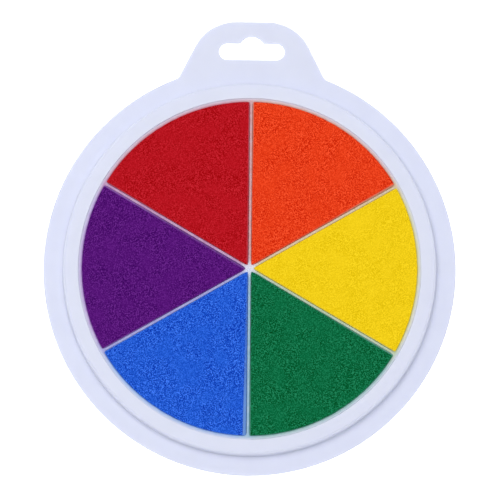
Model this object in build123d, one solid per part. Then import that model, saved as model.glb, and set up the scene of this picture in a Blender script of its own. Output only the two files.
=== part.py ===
from build123d import *

import math
import os

# A round ink pad in six colours: a moulded tray with a hang tab, six wedges of inked foam
# stuck in its wells, and a snap-on lid, which is kept upturned under the tray in use.
# Millimetres, +Z up, +Y towards the hang tab. The origin is the centre of the lid's flat
# face, which rests on the table.

# Driving dimensions
TRAY_RADIUS = 75.0
TAB_TOP = 91.0
TRAY_HEIGHT = 14.5
WALL = 1.2
RIM_OUTER_RADIUS = 67.5
RIM_HEIGHT = 6.0
LEDGE_RADIUS = 62.1
WELL_RADIUS = 60.9
RIB_WIDTH = 1.0
PAD_COLOURS = ("yellow", "orange", "red", "purple", "blue", "green")
SECTOR = 360 / len(PAD_COLOURS)

# Tray
RIB_DROP = 0.6
RIB_ROUND = 0.2
WELL_CORNER = 1.2
WELL_APEX_CORNER = 0.9
WELL_DRAFT = 0.4
FOOT_HEIGHT = 2.5
FOOT_ROUND = 0.4
RIM_DRAFT = 0.2
RIM_ROUND = 0.8
RIM_ROOT_ROUND = 0.5
MOUTH_ROUND = 0.3
FLANGE_ROUND = 0.4
JOINING_WIDTH = 2.0

# Snap bead round the rim, and the one in the lid that slips past it
SNAP_BEAD = 0.2
SNAP_BEAD_RISE = 1.6
SNAP_BEAD_HALF = 0.5
SNAP_BITE = 0.1

# Hang tab and its slot
TAB_VERTEX_HALF = 16.0
TAB_SIDE_ANGLE = 27.0
TAB_CORNER = 16.8
TAB_ROOT_FILLET = 2.0
TAB_ROOT_Y = 60.0
SLOT_LENGTH = 24.0
SLOT_WIDTH = 6.3
SLOT_Y = 80.15
HOOK_HOLE_RADIUS = 4.67
HOOK_HOLE_Y = 81.1
HOOK_HOLE_FILLET = 1.0

# Foam pads and the adhesive under them
PAD_RADIUS = 60.6
PAD_SIDE_GAP = 0.25
PAD_PROUD_OF_RIBS = 0.6
PAD_CORNER = 0.6
PAD_SHOULDER = 0.4
ADHESIVE_THICKNESS = 0.2
ADHESIVE_INSET = 3.5
ADHESIVE_CORNER = 2.5

# Lid
LID_INSET = 0.5
LID_CLEARANCE = 0.4
LID_EDGE_ROUND = 1.0
SEAL_BEAD_HEIGHT = 0.8
SEAL_BEAD_WIDTH = 1.0
SEAL_BEAD_DRAFT = 0.15
NEST_CLEARANCE = 0.6

# Heights, from the lid's flat face up
tray_base = WALL
floor_bottom = tray_base + FOOT_HEIGHT
floor_top = floor_bottom + WALL
rim_top = tray_base + TRAY_HEIGHT
flange_top = rim_top - RIM_HEIGHT
flange_bottom = flange_top - WALL
rib_top = rim_top - RIB_DROP
pad_bottom = floor_top + ADHESIVE_THICKNESS
pad_top = rib_top + PAD_PROUD_OF_RIBS
lid_mouth = WALL + RIM_HEIGHT + SEAL_BEAD_HEIGHT

# Radii worked out from the ones above
foot_radius = WELL_RADIUS + WALL - WELL_DRAFT
rim_root_radius = RIM_OUTER_RADIUS + RIM_DRAFT
lid_mouth_radius = rim_root_radius + LID_CLEARANCE


def turned(outline, rounds):
    """A dish turned about +Z from (radius, height) points, with some of its corners rounded."""
    section = make_face(Polyline(*outline, close=True))
    for place, radius in rounds.items():
        section = fillet(section.vertices().sort_by_distance(place)[0], radius)
    return revolve(Plane.XZ * section, Axis.Z)


def tab_outline():
    """The hang tab, whose sides lean outwards down to the disc."""
    lean = math.tan(math.radians(TAB_SIDE_ANGLE))
    root_half = TAB_VERTEX_HALF + (TAB_TOP - TAB_ROOT_Y) * lean
    left = [(-root_half, TAB_ROOT_Y), (-TAB_VERTEX_HALF, TAB_TOP)]
    right = [(TAB_VERTEX_HALF, TAB_TOP), (root_half, TAB_ROOT_Y)]
    tab = make_face(Polyline(*left, *right, close=True))
    return fillet(tab.vertices().group_by(Axis.Y)[-1], TAB_CORNER)


def flange_outline():
    """The disc with its hang tab, before the slot is cut."""
    outline = Sketch() + Circle(TRAY_RADIUS) + tab_outline()
    roots = []
    for corner in outline.vertices():
        on_disc = abs(math.hypot(corner.X, corner.Y) - TRAY_RADIUS) < 0.01
        if on_disc and corner.Y > TAB_ROOT_Y:
            roots.append(corner)
    return fillet(roots, TAB_ROOT_FILLET)


def hang_slot():
    """A round-ended slot, with the round hook hole standing above its middle."""
    slot = Sketch() + Pos(0, SLOT_Y) * SlotOverall(SLOT_LENGTH, SLOT_WIDTH)
    slot_top = SLOT_Y + SLOT_WIDTH / 2
    upper_half = Pos(0, SLOT_Y + HOOK_HOLE_RADIUS) * Rectangle(4 * HOOK_HOLE_RADIUS, 2 * HOOK_HOLE_RADIUS)
    slot += Pos(0, HOOK_HOLE_Y) * Circle(HOOK_HOLE_RADIUS) & upper_half
    meets = []
    for corner in slot.vertices():
        if abs(corner.Y - slot_top) < 0.01 and abs(corner.X) < HOOK_HOLE_RADIUS:
            meets.append(corner)
    return fillet(meets, HOOK_HOLE_FILLET)


def flange(inset, inner_radius, low, high):
    """The flat flange and tab between two heights, its outer edges rounded and its slot cut."""
    outline = offset(flange_outline(), -inset) if inset else flange_outline()
    plate = extrude(Pos(0, 0, low) * outline, high - low)
    rims = plate.faces().sort_by(Axis.Z)
    plate = fillet(rims[0].edges() + rims[-1].edges(), FLANGE_ROUND)
    plate -= extrude(Pos(0, 0, low) * Circle(inner_radius), high - low)
    return plate - extrude(Pos(0, 0, low) * hang_slot(), high - low)


def wedge(radius, side_offset, apex_round, corner_round):
    """One sixth of a disc, centred on +X, its sides set in from the ribs' centrelines."""
    half = math.radians(SECTOR / 2)
    apex = side_offset / math.sin(half)
    reach_x = apex + 2 * radius * math.cos(half)
    reach_y = 2 * radius * math.sin(half)
    triangle = make_face(Polyline((apex, 0), (reach_x, -reach_y), (reach_x, reach_y), close=True))
    shape = triangle & Circle(radius)
    shape = fillet(shape.vertices().sort_by(Axis.X)[0], apex_round)
    return fillet(shape.vertices().group_by(Axis.X)[-1], corner_round)


def tray():
    """The moulding: a pan with six wells and a ledge, a raised hollow rim, a flange and a tab."""
    foot_inner = foot_radius - WALL
    rim_inner = RIM_OUTER_RADIUS - WALL
    join = rim_root_radius + JOINING_WIDTH
    bead_z = flange_top + SNAP_BEAD_RISE
    bead = (rim_root_radius + SNAP_BEAD, bead_z)
    pan = turned(
        [
            (0, floor_bottom),
            (foot_inner, floor_bottom),
            (foot_inner, tray_base),
            (foot_radius, tray_base),
            (WELL_RADIUS + WALL, rim_top - WALL),
            (rim_inner, rim_top - WALL),
            (rim_inner + RIM_DRAFT, flange_bottom),
            (join, flange_bottom),
            (join, flange_top),
            (rim_root_radius, flange_top),
            (rim_root_radius, bead_z - SNAP_BEAD_HALF),
            bead,
            (rim_root_radius - RIM_DRAFT / 2, bead_z + SNAP_BEAD_HALF),
            (RIM_OUTER_RADIUS, rim_top),
            (0, rim_top),
        ],
        {
            (foot_radius, tray_base): FOOT_ROUND,
            (RIM_OUTER_RADIUS, rim_top): RIM_ROUND,
            (rim_root_radius, flange_top): RIM_ROOT_ROUND,
        },
    )
    pan -= extrude(Pos(0, 0, rib_top) * Circle(LEDGE_RADIUS), RIB_DROP)
    mouth = pan.edges().filter_by(GeomType.CIRCLE).sort_by_distance((LEDGE_RADIUS, 0, rim_top))[0]
    pan = fillet(mouth, MOUTH_ROUND)
    well = wedge(WELL_RADIUS, RIB_WIDTH / 2, WELL_APEX_CORNER, WELL_CORNER)
    hollow = extrude(Pos(0, 0, floor_top) * well, rib_top - floor_top)
    for number in range(len(PAD_COLOURS)):
        pan -= Rot(0, 0, number * SECTOR) * hollow
    well_rims = []
    for edge in pan.edges():
        middle = edge.position_at(0.5)
        if abs(middle.Z - rib_top) < 0.01 and math.hypot(middle.X, middle.Y) < WELL_RADIUS + 0.01:
            well_rims.append(edge)
    pan = fillet(well_rims, RIB_ROUND)
    return pan + flange(0, join - JOINING_WIDTH / 2, flange_bottom, flange_top)


def foam_pad():
    """One wedge of foam, centred on +X, with soft upper edges."""
    outline = wedge(PAD_RADIUS, RIB_WIDTH / 2 + PAD_SIDE_GAP, PAD_CORNER, PAD_CORNER)
    block = extrude(Pos(0, 0, pad_bottom) * outline, pad_top - pad_bottom)
    return fillet(block.faces().sort_by(Axis.Z)[-1].edges(), PAD_SHOULDER)


def adhesive_patch():
    """The thin patch, centred on +X, that holds one pad to the floor of its well."""
    side_offset = RIB_WIDTH / 2 + PAD_SIDE_GAP + ADHESIVE_INSET
    outline = wedge(PAD_RADIUS - ADHESIVE_INSET, side_offset, ADHESIVE_CORNER, ADHESIVE_CORNER)
    return extrude(Pos(0, 0, floor_top) * outline, ADHESIVE_THICKNESS)


def lid():
    """The lid, upturned: a shallow dish with a sealing bead, a flange and its own hang tab."""
    floor_radius = lid_mouth_radius - RIM_DRAFT
    seal_inner = foot_radius + NEST_CLEARANCE
    seal_outer = seal_inner + SEAL_BEAD_WIDTH
    seal_top = WALL + SEAL_BEAD_HEIGHT
    snap_z = lid_mouth - SNAP_BEAD_RISE / 2
    join = lid_mouth_radius + WALL + JOINING_WIDTH
    dish = turned(
        [
            (0, 0),
            (floor_radius + WALL, 0),
            (lid_mouth_radius + WALL, lid_mouth - WALL),
            (join, lid_mouth - WALL),
            (join, lid_mouth),
            (lid_mouth_radius, lid_mouth),
            (lid_mouth_radius, snap_z + SNAP_BEAD_HALF),
            (rim_root_radius + SNAP_BEAD - SNAP_BITE, snap_z),
            (lid_mouth_radius, snap_z - SNAP_BEAD_HALF),
            (floor_radius, WALL),
            (seal_outer, WALL),
            (seal_outer - SEAL_BEAD_DRAFT, seal_top),
            (seal_inner + SEAL_BEAD_DRAFT, seal_top),
            (seal_inner, WALL),
            (0, WALL),
        ],
        {(floor_radius + WALL, 0): LID_EDGE_ROUND, (floor_radius, WALL): LID_EDGE_ROUND / 2},
    )
    return dish + flange(LID_INSET, join - JOINING_WIDTH / 2, lid_mouth - WALL, lid_mouth)


os.makedirs("parts", exist_ok=True)
export_step(tray(), "parts/tray.step")
export_step(lid(), "parts/lid.step")
for number, colour in enumerate(PAD_COLOURS):
    turn = Rot(0, 0, number * SECTOR)
    export_step(turn * foam_pad(), f"parts/{colour}_pad.step")
    export_step(turn * adhesive_patch(), f"parts/{colour}_pad_adhesive.step")
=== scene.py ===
import math

import bpy
import numpy as np
from mathutils import Matrix, Vector

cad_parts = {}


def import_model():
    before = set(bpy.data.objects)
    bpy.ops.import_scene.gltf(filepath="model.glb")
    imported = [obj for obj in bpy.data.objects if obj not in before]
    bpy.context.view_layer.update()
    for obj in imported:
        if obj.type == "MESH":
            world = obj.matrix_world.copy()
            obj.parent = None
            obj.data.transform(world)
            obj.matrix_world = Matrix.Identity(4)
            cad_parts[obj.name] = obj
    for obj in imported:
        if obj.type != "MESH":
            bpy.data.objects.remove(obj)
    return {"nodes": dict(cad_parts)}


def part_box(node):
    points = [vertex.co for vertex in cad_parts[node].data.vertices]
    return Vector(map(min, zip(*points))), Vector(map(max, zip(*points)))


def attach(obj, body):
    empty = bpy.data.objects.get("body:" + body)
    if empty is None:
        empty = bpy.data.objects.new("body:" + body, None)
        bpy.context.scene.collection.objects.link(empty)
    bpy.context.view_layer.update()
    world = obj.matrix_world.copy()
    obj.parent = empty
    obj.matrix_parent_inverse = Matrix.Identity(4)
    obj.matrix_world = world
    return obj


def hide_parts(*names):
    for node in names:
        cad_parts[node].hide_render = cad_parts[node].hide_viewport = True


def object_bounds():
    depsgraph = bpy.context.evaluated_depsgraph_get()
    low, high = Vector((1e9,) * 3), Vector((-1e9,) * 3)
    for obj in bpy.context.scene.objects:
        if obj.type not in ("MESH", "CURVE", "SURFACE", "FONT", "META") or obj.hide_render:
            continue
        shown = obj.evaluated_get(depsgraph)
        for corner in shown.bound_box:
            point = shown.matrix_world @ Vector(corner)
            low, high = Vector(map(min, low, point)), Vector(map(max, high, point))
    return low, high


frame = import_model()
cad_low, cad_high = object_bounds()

# The ink pads: six wedges die-cut from a sheet of fine open-cell foam, each soaked in its own
# ink and pressed by hand onto the adhesive in its well. The foam springs out against the ribs,
# but its upper edges are dragged back by the cutter, more or less on each side.
MM = 0.001
SECTOR = 60
RIB_HALF = 0.5 * MM
pad_low, pad_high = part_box("yellow_pad")
pad_radius = pad_high.x + 0.28 * MM
pad_apex = (RIB_HALF + 0.06 * MM) / math.sin(math.radians(SECTOR / 2))
pad_corner = 0.6 * MM
cut_depth = 1.8 * MM
cell_mesh = 0.26 * MM
drag_slope = math.radians(34)
drag_depth = 0.2 * MM
wedge_facets = 360
grain_size = 0.38 * MM
bubble_size = 0.42 * MM
patch_size = 7 * MM
swell_size = 11 * MM
pore_size = 0.52 * MM
cell_size = 0.4 * MM
foam_relief = 0.2 * MM
least_ink = 0.005
# how strongly each ink tints the pale plastic colour painted on the groove faces as light
gap_light_power = 0.27
plastic = (0.835, 0.852, 0.932)

# The ink's colour in sRGB; how far its flecks, with their painted shade and glints, stray from it; and
# how wide the groove is, in mm at the hub and at the rim, along the pad's anticlockwise side and its
# clockwise one.
inks = {
    "yellow": ((0.94, 0.80, 0.075), 0.065, (0.30, 0.25), (0.45, 0.40)),
    "orange": ((0.895, 0.225, 0.07), 0.12, (0.35, 0.60), (0.40, 0.85)),
    "red": ((0.70, 0.045, 0.095), 0.105, (0.25, 0.40), (0.75, 0.50)),
    "purple": ((0.32, 0.05, 0.45), 0.115, (0.25, 0.40), (1.00, 0.70)),
    "blue": ((0.10, 0.335, 0.81), 0.17, (0.60, 1.60), (0.30, 0.30)),
    "green": ((0.0, 0.40, 0.23), 0.14, (0.30, 0.70), (0.25, 0.50)),
}


def linear(colour):
    """The linear colour, with alpha 1, of an sRGB one."""
    light = [c / 12.92 if c <= 0.04045 else ((c + 0.055) / 1.055) ** 2.4 for c in colour]
    return (*light, 1.0)


def paler(colour, step):
    """The linear colour of an sRGB one made evenly paler, or darker by a step below zero."""
    return linear([min(1.0, max(0.0, c + step)) for c in colour])


def pick(piece):
    """Selects one piece alone and makes it the active one."""
    bpy.ops.object.select_all(action="DESELECT")
    piece.select_set(True)
    bpy.context.view_layer.objects.active = piece


def apply_modifiers(piece):
    """Applies every modifier of a piece, in order."""
    pick(piece)
    for modifier in list(piece.modifiers):
        bpy.ops.object.modifier_apply(modifier=modifier.name)


def select_edges(piece, wanted):
    """In edit mode, selects the edges for which wanted(middle, direction) is true."""
    bpy.ops.mesh.select_mode(type="EDGE")
    bpy.ops.mesh.select_all(action="DESELECT")
    bpy.ops.object.mode_set(mode="OBJECT")
    for edge in piece.data.edges:
        start, end = (piece.data.vertices[i].co for i in edge.vertices)
        edge.select = wanted((start + end) / 2, (end - start).normalized())
    bpy.ops.object.mode_set(mode="EDIT")


def points(piece):
    """The piece's vertices as an array."""
    flat = np.empty(len(piece.data.vertices) * 3, np.float32)
    piece.data.vertices.foreach_get("co", flat)
    return flat.reshape(-1, 3)


def record(piece, name, values):
    """Keeps a value from 0 to 1 on each of the piece's vertices, for its material."""
    kept = piece.data.attributes.new(name, "FLOAT", "POINT")
    kept.data.foreach_set("value", np.clip(values, 0, 1).astype(np.float32))


def foam_wedge(name, grooves):
    """One wedge of foam in the place of the +X pad, finely meshed where it shows."""
    half = math.radians(SECTOR / 2)
    waist = pad_high.z - cut_depth
    bpy.ops.object.select_all(action="DESELECT")
    bpy.ops.mesh.primitive_cylinder_add(
        vertices=wedge_facets, radius=pad_radius, depth=2 * cut_depth, location=(0, 0, waist)
    )
    piece = bpy.context.object
    piece.name = name
    bpy.ops.object.transform_apply(location=True, rotation=True, scale=True)
    bpy.ops.object.mode_set(mode="EDIT")
    for side in (1, -1):
        bpy.ops.mesh.select_all(action="SELECT")
        across = (-math.sin(half), side * math.cos(half), 0)
        bpy.ops.mesh.bisect(plane_co=(pad_apex, 0, 0), plane_no=across, use_fill=True, clear_outer=True)
    select_edges(piece, lambda middle, way: abs(way.z) > 0.9 and middle.x < pad_apex + 0.1 * MM)
    bpy.ops.mesh.bevel(offset=pad_corner, segments=5)
    # the cutter's drag: a slanting cut along the top of each side, as wide as its groove
    for side, (at_hub, at_rim) in zip((1, -1), grooves):
        across = Vector((-math.sin(half), side * math.cos(half), 0))
        along = Vector((math.cos(half), side * math.sin(half), 0))
        start = Vector((RIB_HALF / math.sin(half), 0, pad_high.z))
        end = start + along * pad_radius - across * at_rim * MM
        start = start - across * at_hub * MM
        down = across * math.cos(drag_slope) - Vector((0, 0, math.sin(drag_slope)))
        outwards = side * (end - start).cross(down).normalized()
        bpy.ops.mesh.select_all(action="SELECT")
        bpy.ops.mesh.bisect(
            plane_co=start, plane_no=outwards, use_fill=True, clear_outer=True, threshold=0.001 * MM
        )
    bpy.ops.object.mode_set(mode="OBJECT")
    cells = piece.modifiers.new("cells", "REMESH")
    cells.mode = "VOXEL"
    cells.voxel_size = cell_mesh
    soft = piece.modifiers.new("soft edges", "SMOOTH")
    soft.iterations = 4
    apply_modifiers(piece)
    # the lower half of the block gives way to plain cut sides and a flat back
    bpy.ops.object.mode_set(mode="EDIT")
    bpy.ops.mesh.select_all(action="SELECT")
    bpy.ops.mesh.bisect(plane_co=(0, 0, waist), plane_no=(0, 0, -1), clear_outer=True)
    bpy.ops.mesh.select_mode(type="EDGE")
    bpy.ops.mesh.select_all(action="DESELECT")
    bpy.ops.mesh.select_non_manifold()
    bpy.ops.mesh.extrude_region_move(TRANSFORM_OT_translate={"value": (0, 0, pad_low.z - waist)})
    bpy.ops.mesh.edge_face_add()
    bpy.ops.mesh.select_all(action="SELECT")
    bpy.ops.mesh.normals_make_consistent(inside=False)
    bpy.ops.object.mode_set(mode="OBJECT")
    return piece


def relief(piece, name, kind, size, height):
    """Raises and lowers the piece's surface by a cloud or cell pattern of that size, and applies it."""
    pattern = bpy.data.textures.new(f"{piece.name}_{name}", kind)
    pattern.noise_scale = size
    step = piece.modifiers.new(name, "DISPLACE")
    step.texture = pattern
    step.texture_coords = "LOCAL"
    step.direction = "Z"
    step.strength = height
    step.mid_level = 0.5
    apply_modifiers(piece)


def node(tree, kind, inputs=None, **settings):
    """A new shader node with its settings, and its inputs set to values or linked to outputs."""
    made = tree.nodes.new(kind)
    for name, value in settings.items():
        setattr(made, name, value)
    for name, value in (inputs or {}).items():
        if isinstance(value, bpy.types.NodeSocket):
            tree.links.new(value, made.inputs[name])
        else:
            made.inputs[name].default_value = value
    return made


def new_material(name):
    """A material with its node tree empty but for an output: the material, the tree, the output."""
    material = bpy.data.materials.new(name)
    material.use_nodes = True
    material.node_tree.nodes.clear()
    return material, material.node_tree, node(material.node_tree, "ShaderNodeOutputMaterial")


def noise(tree, place, size, detail, roughness=0.5):
    """The height of a cloudy noise of that size."""
    settings = {"Vector": place, "Scale": 1 / size, "Detail": detail, "Roughness": roughness}
    return node(tree, "ShaderNodeTexNoise", settings).outputs["Fac"]


def spread(tree, value, low, high, to_low, to_high):
    """A value brought smoothly from one range to another."""
    settings = {"Value": value, "From Min": low, "From Max": high, "To Min": to_low, "To Max": to_high}
    return node(tree, "ShaderNodeMapRange", settings, interpolation_type="SMOOTHSTEP").outputs["Result"]


def ramp(tree, factor, stops):
    """The colour of a ramp through (position, colour) stops."""
    made = node(tree, "ShaderNodeValToRGB", {"Fac": factor})
    for number, (position, colour) in enumerate(stops):
        if number < 2:
            stop = made.color_ramp.elements[number]
            stop.position = position
        else:
            stop = made.color_ramp.elements.new(position)
        stop.color = colour
    return made.outputs["Color"]


def mixed(tree, factor, first, second, way="MIX"):
    """The mix of two colours."""
    made = node(tree, "ShaderNodeMix", data_type="RGBA", blend_type=way)
    for index, value in ((0, factor), (6, first), (7, second)):
        if isinstance(value, bpy.types.NodeSocket):
            tree.links.new(value, made.inputs[index])
        else:
            made.inputs[index].default_value = value
    return made.outputs[2]


def plus_part(tree, base, extra, share):
    """A value with that share of another one added to it."""
    sockets = {0: extra, 1: share, 2: base}
    return node(tree, "ShaderNodeMath", sockets, operation="MULTIPLY_ADD").outputs[0]


def ink_foam(name, ink, fleck_and_painted_light):
    """Open-cell foam soaked in ink: painted shade in its pores and pits, painted glints on its crests,
    unevenly taken-up ink, and groove faces painted pale.
    """
    material, tree, output = new_material(name)
    place = node(tree, "ShaderNodeTexCoord").outputs["Object"]
    # painted shade and glints: the colour is darker in the pores' centres and the lower relief, and
    # paler on the crests
    depth = node(tree, "ShaderNodeAttribute", attribute_name="relief_shade").outputs["Fac"]
    grain = spread(tree, noise(tree, place, grain_size, 1.0), 0.2, 0.8, 0.0, 0.6)
    bubbles = node(tree, "ShaderNodeTexVoronoi", {"Vector": place, "Scale": 1 / bubble_size})
    pore_shade = spread(tree, bubbles.outputs["Distance"], 0.15, 0.8, 0.0, 1.0)
    rough = plus_part(tree, grain, pore_shade, 0.4)
    cells = plus_part(tree, rough, depth, 0.2)
    flecks_and_painted_light = [(0.38, paler(ink, -fleck_and_painted_light)), (0.90, paler(ink, fleck_and_painted_light)), (0.64, linear(ink))]
    patches = spread(tree, noise(tree, place, patch_size, 2.0), 0.35, 0.75, 0.0, 0.6)
    uneven = mixed(tree, patches, ramp(tree, cells, flecks_and_painted_light), paler(ink, 0.03))
    # painted light: the groove faces are mixed toward a pale plastic tint, standing in for light on the
    # plastic seen through the gaps
    dry = node(tree, "ShaderNodeAttribute", attribute_name="dry").outputs["Fac"]
    gap_light_colour = [c * max(i, least_ink) ** gap_light_power for c, i in zip(linear(plastic), linear(ink))]
    bump = node(tree, "ShaderNodeBump", {"Height": rough, "Distance": 0.08 * MM, "Strength": 0.6})
    finish = {
        "Base Color": mixed(tree, dry, uneven, gap_light_colour),
        "Roughness": 0.8,
        "Specular IOR Level": 0.03,
        "Normal": bump.outputs["Normal"],
    }
    surface = node(tree, "ShaderNodeBsdfPrincipled", finish)
    tree.links.new(surface.outputs["BSDF"], output.inputs["Surface"])
    return material


for number, (ink_name, (ink, fleck_and_painted_light, *grooves)) in enumerate(inks.items()):
    pad = foam_wedge(f"{ink_name}_foam_pad", grooves)
    pick(pad)
    turn = -math.radians(number * SECTOR)
    bpy.ops.transform.rotate(value=turn, orient_axis="Z", center_override=(0, 0, 0))
    bpy.ops.object.transform_apply(location=True, rotation=True, scale=True)
    smooth = points(pad)
    # painted light on the groove faces, stronger towards the rim
    fall = (pad_high.z - 0.05 * MM - smooth[:, 2]) / drag_depth
    outward = (np.hypot(smooth[:, 0], smooth[:, 1]) / pad_radius - 0.5) / 0.3
    record(pad, "dry", np.clip(fall, 0, 1) * (0.35 + 0.5 * np.clip(outward, 0, 1)))
    relief(pad, "swell", "CLOUDS", swell_size, foam_relief)
    smooth = points(pad)
    relief(pad, "pores", "VORONOI", pore_size, foam_relief)
    relief(pad, "cells", "CLOUDS", cell_size, foam_relief / 2)
    # the relief's rise is kept so that the colour can paint shade in the pits and light on the crests
    rise = (points(pad) - smooth)[:, 2]
    record(pad, "relief_shade", (rise - rise.mean()) / (4 * rise.std()) + 0.5)
    bpy.ops.object.shade_smooth()
    pad.data.materials.append(ink_foam(f"{ink_name}_ink_foam", ink, fleck_and_painted_light))
    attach(pad, "tray")
    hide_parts(f"{ink_name}_pad")

# The tray: one injection moulding of milky polypropylene with a faintly textured skin. Ink
# from the pads has stained the ribs between them and the ledge round the wells; the tint there
# also carries the pads' colour reflected onto them, painted in.
tray = frame["nodes"]["tray"]
well_radius = 60.9 * MM
ledge_radius = 62.1 * MM
well_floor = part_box("yellow_pad_adhesive")[0].z
hub_edge = 4 * MM
# how strongly each ink tints the ribs and ledge, as stain and as painted reflected colour
dilution = 0.22
bleed = 6 / 360
wave_size = 9 * MM
skin_size = 0.5 * MM
blotch_size = 2.5 * MM


def milky_plastic(name, colour, roughness):
    """Milky polypropylene: a soft, slightly wavy shine over a body that light sinks into."""
    material, tree, output = new_material(name)
    place = node(tree, "ShaderNodeTexCoord").outputs["Object"]
    waves = noise(tree, place, wave_size, 2.0)
    skin = noise(tree, place, skin_size, 3.0)
    broad = node(tree, "ShaderNodeBump", {"Height": waves, "Distance": 0.05 * MM, "Strength": 0.5})
    fine = {"Height": skin, "Distance": 0.01 * MM, "Strength": 0.5, "Normal": broad.outputs["Normal"]}
    surface = node(
        tree,
        "ShaderNodeBsdfPrincipled",
        {
            "Roughness": spread(tree, skin, 0.3, 0.7, roughness - 0.05, roughness + 0.05),
            "IOR": 1.49,
            "Subsurface Weight": 0.4,
            "Subsurface Radius": (1.0, 1.0, 1.2),
            "Subsurface Scale": 1.5 * MM,
            "Normal": node(tree, "ShaderNodeBump", fine).outputs["Normal"],
        },
    )
    cloudy = ramp(tree, waves, [(0.3, paler(colour, -0.006)), (0.7, paler(colour, 0.004))])
    tree.links.new(surface.outputs["BSDF"], output.inputs["Surface"])
    return material, tree, place, cloudy, surface


def stained_and_bounce_plastic():
    """The tray's plastic, its ribs and ledge tinted by the inks beside them: stains, with the pads'
    reflected colour painted in.
    """
    material, tree, place, cloudy, surface = milky_plastic("tray_plastic", plastic, 0.42)
    across, up, height = node(tree, "ShaderNodeSeparateXYZ", {"Vector": place}).outputs
    level = node(tree, "ShaderNodeCombineXYZ", {"X": across, "Y": up}).outputs["Vector"]
    radius = node(tree, "ShaderNodeVectorMath", {0: level}, operation="LENGTH").outputs["Value"]
    angle = node(tree, "ShaderNodeMath", {0: up, 1: across}, operation="ARCTAN2").outputs[0]
    full_turn = {"Value": angle, "From Min": -math.pi, "From Max": math.pi}
    turn = node(tree, "ShaderNodeMapRange", full_turn).outputs["Result"]
    order = ["purple", "blue", "green", "yellow", "orange", "red", "purple"]
    stops = []
    for number, name in enumerate(order):
        for side in (-1, 1):
            at = number / 6 + side * (1 / 12 - bleed)
            if 0 < at < 1:
                stops.append((at, [max(c, least_ink) ** dilution for c in linear(inks[name][0])]))
    # stain and painted reflection: each ink's colour laid on the ribs and ledge next to its pad
    stain_and_bounce = ramp(tree, turn, stops)
    blotches = spread(tree, noise(tree, place, blotch_size, 3.0), 0.35, 0.6, 0.8, 1.0)
    inside = spread(tree, radius, ledge_radius + 0.4 * MM, well_radius, 0.0, 1.0)
    outside_hub = spread(tree, radius, 0.3 * hub_edge, hub_edge, 0.15, 1.0)
    above = spread(tree, height, well_floor - 0.4 * MM, well_floor, 0.0, 1.0)
    amount = blotches
    for limit in (inside, outside_hub, above):
        product = node(tree, "ShaderNodeMath", {0: amount, 1: limit}, operation="MULTIPLY")
        amount = product.outputs[0]
    tree.links.new(mixed(tree, amount, cloudy, stain_and_bounce, "MULTIPLY"), surface.inputs["Base Color"])
    return material


tray.data.materials[0] = stained_and_bounce_plastic()

# The lid: a second moulding of the same milky plastic, glossier and free of stains, its colour
# painted a little darker than the tray's as shade against the glow of the light table beneath.
# It is kept upturned under the tray, which nests in it.
lid = frame["nodes"]["lid"]
material, tree, place, cloudy, surface = milky_plastic("lid_plastic", (0.82, 0.845, 0.93), 0.36)
tree.links.new(cloudy, surface.inputs["Base Color"])
lid.data.materials[0] = material

# The adhesive: thin patches of acrylic transfer tape, cream and slightly fibrous, pressed
# onto the floor of each well to hold its pad.
material, tree, output = new_material("transfer_tape")
place = node(tree, "ShaderNodeTexCoord").outputs["Object"]
fibres = noise(tree, place, 1.5 * MM, 6.0)
cream = ramp(tree, fibres, [(0.3, linear((0.86, 0.84, 0.78))), (0.7, linear((0.93, 0.92, 0.87)))])
bump = node(tree, "ShaderNodeBump", {"Height": fibres, "Distance": 0.03 * MM, "Strength": 0.6})
surface = node(
    tree,
    "ShaderNodeBsdfPrincipled",
    {"Base Color": cream, "Roughness": 0.5, "Normal": bump.outputs["Normal"]},
)
tree.links.new(surface.outputs["BSDF"], output.inputs["Surface"])
for ink_name in inks:
    frame["nodes"][f"{ink_name}_pad_adhesive"].data.materials[0] = material

# The table and the studio: a white light table, glowing of its own, inside a white tent that
# is brighter round the sides than overhead, under one soft box above and to the left.
floor_gap = 0.05 * MM
bpy.ops.object.select_all(action="DESELECT")
bpy.ops.mesh.primitive_plane_add(size=6.0, location=(0, 0, cad_low.z - floor_gap))
floor = bpy.context.object
floor.name = "floor"
material, tree, output = new_material("light_table")
surface = node(
    tree,
    "ShaderNodeBsdfPrincipled",
    {
        "Base Color": (0.93, 0.93, 0.93, 1),
        "Roughness": 0.9,
        "Emission Color": (1, 1, 1, 1),
        "Emission Strength": 0.7,
    },
)
tree.links.new(surface.outputs["BSDF"], output.inputs["Surface"])
floor.data.materials.append(material)

studio = bpy.data.worlds.new("studio")
bpy.context.scene.world = studio
studio.use_nodes = True
tree = studio.node_tree
way = node(tree, "ShaderNodeTexCoord").outputs["Generated"]
height = node(tree, "ShaderNodeSeparateXYZ", {"Vector": way}).outputs["Z"]
tree.nodes["Background"].inputs["Color"].default_value = (1, 1, 1, 1)
tree.links.new(spread(tree, height, 0.0, 1.0, 1.0, 0.2), tree.nodes["Background"].inputs["Strength"])

lamp_place = Vector((-0.12, 0.15, 1.5))
bpy.ops.object.light_add(type="AREA", location=lamp_place)
lamp = bpy.context.object
lamp.name = "overhead"
lamp.data.size = 0.9
lamp.data.energy = 14.3
lamp.rotation_euler = (-lamp_place).to_track_quat("-Z", "Y").to_euler()

# The camera: high above, leaning a little towards the user's side, and turned so that the
# hang tab points up in the view and a hair to the right.
view_width = 181.84 * MM
view_distance = 2.5
lean = math.radians(6)
roll = math.radians(0.6)
rim_height = 6 * MM
aim = Vector((0.07 * MM, 7.3 * MM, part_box("tray")[1].z - rim_height))
bpy.ops.object.camera_add(location=aim + view_distance * Vector((0, -math.sin(lean), math.cos(lean))))
camera = bpy.context.object
camera.rotation_euler = (Matrix.Rotation(lean, 3, "X") @ Matrix.Rotation(roll, 3, "Z")).to_euler()
camera.data.sensor_width = 36.0
camera.data.lens = camera.data.sensor_width * view_distance / view_width
camera.data.clip_start = 0.01
bpy.context.scene.camera = camera
bpy.context.scene.view_settings.view_transform = "Standard"
